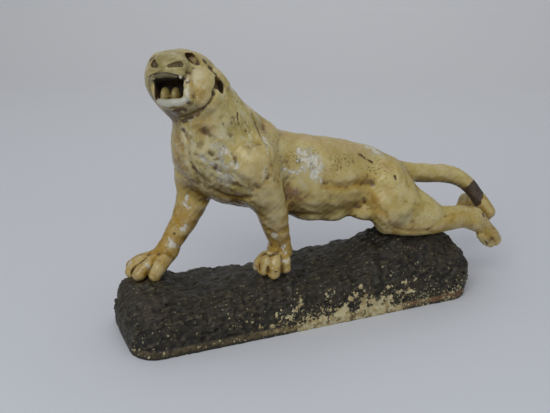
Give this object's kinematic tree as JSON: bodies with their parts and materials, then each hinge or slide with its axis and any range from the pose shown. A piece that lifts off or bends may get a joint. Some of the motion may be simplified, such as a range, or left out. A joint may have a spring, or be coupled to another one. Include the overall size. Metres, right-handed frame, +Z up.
{
  "type": "animal sculpture",
  "caption": "Table sculpture of a roaring big cat braced on its forelegs across a long rough rock, hind legs and ringed tail trailing past the end.",
  "frame": {"origin": "centre of the rock's flat underside, the face the object stands on", "axes": "+X along the rock, from under the forepaws towards the tail, so the animal faces -X; +Y across the rock to the animal's right; +Z up"},
  "size_m": [0.5035, 0.1263, 0.3222],
  "materials": {
    "painted_casting": "aged gloss paint, cream animal on a dark brown rock"
  },
  "bodies": {
    "root": {"big_cat_on_rock": "painted_casting"}
  },
  "joints": []
}
